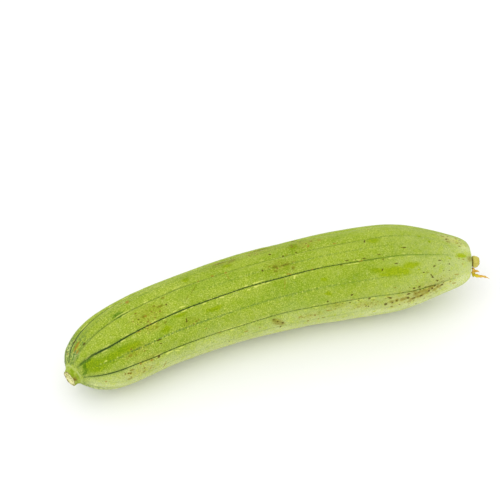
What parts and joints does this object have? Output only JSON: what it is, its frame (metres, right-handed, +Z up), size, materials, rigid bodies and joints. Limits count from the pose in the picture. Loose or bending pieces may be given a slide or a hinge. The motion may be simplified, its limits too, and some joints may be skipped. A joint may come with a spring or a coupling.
{
  "type": "sponge gourd",
  "caption": "Long bowed green gourd with shallow grooves and a smooth skin, lying on its side as picked, with the cut stub of its stalk and its dried flower knob.",
  "frame": {"origin": "on the flat strip that the fruit rests on, below the middle of the fruit", "axes": "+X from the stalk end to the flower end, +Y the way that the middle of the fruit bows, +Z up from the surface that it lies on"},
  "size_m": [0.3219, 0.0758, 0.0662],
  "materials": {
    "fruit_skin": "matte fresh green skin with dark groove lines, pale specks and small brown scars",
    "stalk": "smooth green stalk with a pale fibrous cut face",
    "dried_knob": "dry, wrinkled, straw-coloured",
    "dried_sepals": "withered, orange-brown, yellow-green at the root"
  },
  "bodies": {
    "root": {"fruit": "fruit_skin", "stalk_stub": "stalk", "flower_knob": "dried_knob", "withered_sepals": "dried_sepals"}
  },
  "joints": []
}
